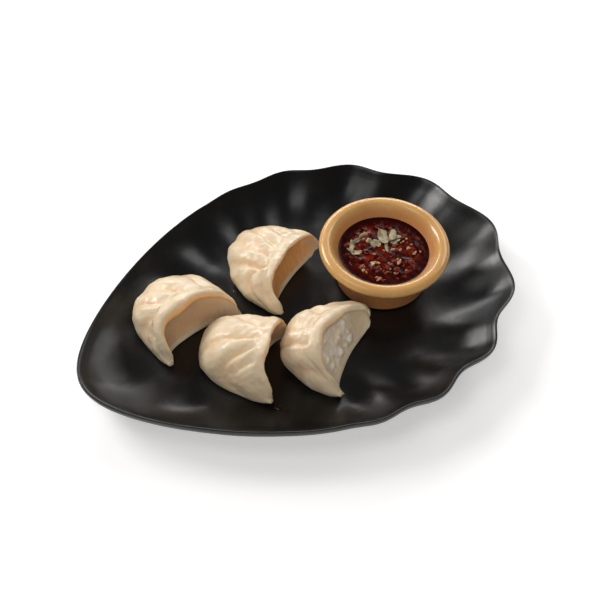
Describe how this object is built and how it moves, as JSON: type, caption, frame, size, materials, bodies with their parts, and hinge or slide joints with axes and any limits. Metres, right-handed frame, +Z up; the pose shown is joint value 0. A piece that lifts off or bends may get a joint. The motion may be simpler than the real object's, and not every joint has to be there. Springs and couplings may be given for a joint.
{
  "type": "plate of steamed dumplings with chutney",
  "caption": "Pleated half-moon steamed dumplings on a fluted black leaf-shaped plate, with a small tan ramekin of chunky red chutney.",
  "frame": {"origin": "middle of the bounding box in plan, at the bottom of the plate's foot ring", "axes": "+X along the plate towards its wide end, +Y across it towards the side with the third dumpling, +Z up"},
  "size_m": [0.24, 0.171, 0.0342],
  "materials": {
    "plate": "black satin melamine",
    "ramekin": "tan glossy melamine",
    "chutney": "wet dark red sauce",
    "dough": "moist steamed wheat dough"
  },
  "bodies": {
    "root": {"plate": "plate", "ramekin": "ramekin", "chutney": "chutney", "momo_1": "dough", "momo_2": "dough", "momo_3": "dough", "momo_4": "dough"}
  },
  "joints": []
}
